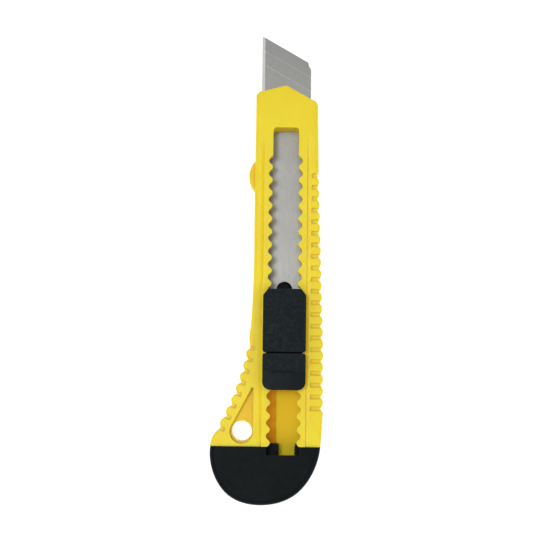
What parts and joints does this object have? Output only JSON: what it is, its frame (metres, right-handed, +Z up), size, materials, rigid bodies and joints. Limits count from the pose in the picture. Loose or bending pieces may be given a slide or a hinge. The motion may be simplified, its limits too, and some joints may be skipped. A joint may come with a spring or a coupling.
{
  "type": "utility knife",
  "caption": "Flat snap-off utility knife with a toothed blade window, ribbed flared grip, sliding thumb pad, lanyard hole and rounded pull-off end cap.",
  "frame": {"origin": "on the blade's centre line, halfway along the closed body, on the flat back face", "axes": "+Y towards the blade tip, +Z up out of the thumb slider's side, +X across the knife away from the cutting edge"},
  "size_m": [0.0398, 0.1703, 0.0163],
  "materials": {
    "yellow_plastic": "satin moulded",
    "black_plastic": "satin moulded",
    "blade_steel": "ground",
    "spring_steel": "rolled"
  },
  "bodies": {
    "body": {"housing": "yellow_plastic"},
    "slider": {"blade_carrier": "black_plastic", "blade": "blade_steel", "slider_tail": "black_plastic", "lock_spring": "spring_steel"},
    "pad": {"thumb_pad": "black_plastic"},
    "cap": {"end_cap": "black_plastic"}
  },
  "joints": [
    {"name": "blade_slide", "type": "slide", "parent": "body", "child": "slider", "axis": [0, 1, 0], "range_m": [-0.02338, 0.05144], "deforming": ["lock_spring"]},
    {"name": "pad_press", "type": "hinge", "parent": "slider", "child": "pad", "pos_m": [0, -0.0219, 0.01295], "axis": [-1, 0, 0], "range_deg": [0, 2], "stiffness_Nm_per_rad": 2, "deforming": ["lock_spring"]},
    {"name": "cap_pull", "type": "slide", "parent": "body", "child": "cap", "axis": [0, -1, 0], "range_m": [0, 0.025]}
  ]
}
